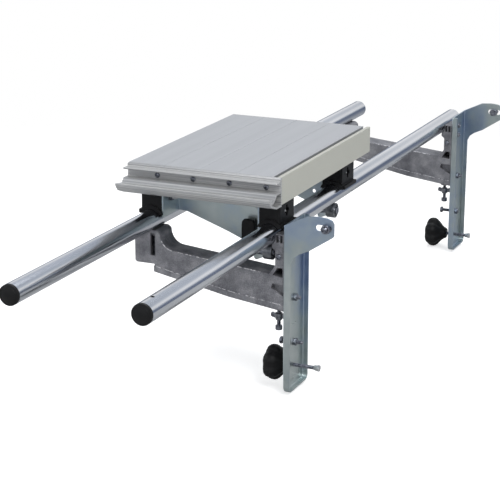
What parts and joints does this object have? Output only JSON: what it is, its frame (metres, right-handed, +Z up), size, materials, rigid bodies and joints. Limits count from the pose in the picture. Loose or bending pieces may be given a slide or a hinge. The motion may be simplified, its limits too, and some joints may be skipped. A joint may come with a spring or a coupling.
{
  "type": "sliding side table",
  "caption": "Sliding side table of aluminium planks on two guide tubes, with cast cross members and slotted brackets that fasten beside a saw.",
  "frame": {"origin": "on the outer face of the near bracket's ear, level with the tubes' axes, 30 mm out from the bracket's web", "axes": "+Y along the guide tubes from the capped near ends to the far ends, +X from the tubes towards the brackets and the saw, +Z up"},
  "size_m": [0.326, 1.328, 0.343],
  "materials": {
    "zinc_sheet": "blue-passivated zinc plate, satin",
    "tube_chrome": "bright plated steel tube",
    "cast_aluminium": "rough die-cast surface",
    "black_plastic": "moulded black, matte",
    "plank_aluminium": "anodised extrusion, matte",
    "rail_aluminium": "anodised extrusion, satin",
    "side_rail_grey": "warm grey anodised, matte",
    "steel_screws": "zinc-plated fasteners",
    "bearing_steel": "ground bearing steel"
  },
  "bodies": {
    "frame": {"near_bracket": "zinc_sheet", "far_bracket": "zinc_sheet", "left_guide_tube": "tube_chrome", "right_guide_tube": "tube_chrome", "near_cross_member": "cast_aluminium", "far_cross_member": "cast_aluminium", "left_tube_cap": "black_plastic", "right_tube_cap": "black_plastic", "tube_studs": "steel_screws", "tube_nuts": "steel_screws", "post_screws": "steel_screws", "bracket_screws": "steel_screws", "bracket_studs": "steel_screws", "bracket_nuts": "steel_screws", "adjusting_screws": "steel_screws", "adjusting_nuts": "steel_screws", "height_bolts": "steel_screws", "ear_bolts": "steel_screws", "ear_nuts": "steel_screws"},
    "carriage": {"table_plank_1": "plank_aluminium", "table_plank_2": "plank_aluminium", "table_plank_3": "plank_aluminium", "table_plank_4": "plank_aluminium", "front_rail": "rail_aluminium", "rear_strip": "plank_aluminium", "side_rail": "side_rail_grey", "front_rail_screws": "steel_screws", "rear_strip_screws": "steel_screws", "near_left_shoe": "black_plastic", "near_right_shoe": "black_plastic", "far_left_shoe": "black_plastic", "far_right_shoe": "black_plastic", "near_cross_plate": "zinc_sheet", "far_cross_plate": "zinc_sheet", "shoe_bolts": "steel_screws", "shoe_nuts": "steel_screws", "near_bearing_hub": "bearing_steel", "far_bearing_hub": "bearing_steel", "roller_axles": "steel_screws", "axle_nuts": "steel_screws", "lock_nut": "steel_screws"},
    "near_roller": {"near_roller": "bearing_steel"},
    "far_roller": {"far_roller": "bearing_steel"},
    "lock_knob": {"lock_knob": "black_plastic", "lock_screw": "steel_screws"},
    "near_clamp_pad": {"near_clamp_pad": "steel_screws"},
    "near_clamp_screw": {"near_clamp_screw": "steel_screws", "near_star_knob": "black_plastic"},
    "far_clamp_pad": {"far_clamp_pad": "steel_screws"},
    "far_clamp_screw": {"far_clamp_screw": "steel_screws", "far_star_knob": "black_plastic"},
    "near_wing_nut": {"near_wing_nut": "steel_screws"},
    "far_wing_nut": {"far_wing_nut": "steel_screws"}
  },
  "joints": [
    {"name": "carriage_slide", "type": "slide", "parent": "frame", "child": "carriage", "axis": [0, 1, 0], "range_m": [-0.37, 0.59]},
    {"name": "near_roller_turn", "type": "hinge", "parent": "carriage", "child": "near_roller", "pos_m": [-0.059, 0.015, -0.0273], "axis": [1, 0, 0], "range_deg": [-1780, 2830]},
    {"name": "far_roller_turn", "type": "hinge", "parent": "carriage", "child": "far_roller", "pos_m": [-0.059, 0.272, -0.0273], "axis": [1, 0, 0], "range_deg": [-1780, 2830]},
    {"name": "lock_knob_turn", "type": "hinge", "parent": "carriage", "child": "lock_knob", "pos_m": [-0.1125, 0.0705, -0.014], "axis": [0, 1, 0], "range_deg": [-180, 0]},
    {"name": "near_clamp_travel", "type": "slide", "parent": "frame", "child": "near_clamp_pad", "axis": [1, 0, 0], "range_m": [-0.0281, 0.0021]},
    {"name": "near_clamp_turn", "type": "hinge", "parent": "near_clamp_pad", "child": "near_clamp_screw", "pos_m": [0.0145, 0.0375, -0.209], "axis": [1, 0, 0], "range_deg": [-10080, 720]},
    {"name": "far_clamp_travel", "type": "slide", "parent": "frame", "child": "far_clamp_pad", "axis": [1, 0, 0], "range_m": [-0.0171, 0.0131]},
    {"name": "far_clamp_turn", "type": "hinge", "parent": "far_clamp_pad", "child": "far_clamp_screw", "pos_m": [0.003, 0.8665, -0.219], "axis": [1, 0, 0], "range_deg": [-6120, 4680]},
    {"name": "near_wing_nut_turn", "type": "hinge", "parent": "frame", "child": "near_wing_nut", "pos_m": [-0.047, 0.024, -0.125], "axis": [0, 0, 1], "range_deg": [0, 720]},
    {"name": "far_wing_nut_turn", "type": "hinge", "parent": "frame", "child": "far_wing_nut", "pos_m": [-0.047, 0.853, -0.125], "axis": [0, 0, 1], "range_deg": [0, 720]}
  ],
  "couplings": [
    {"joint": "near_roller_turn", "follows": "carriage_slide", "rad_per_m": 83.333},
    {"joint": "far_roller_turn", "follows": "carriage_slide", "rad_per_m": 83.333},
    {"joint": "near_clamp_travel", "follows": "near_clamp_turn", "m_per_rad": 0.00015915},
    {"joint": "far_clamp_travel", "follows": "far_clamp_turn", "m_per_rad": 0.00015915}
  ]
}
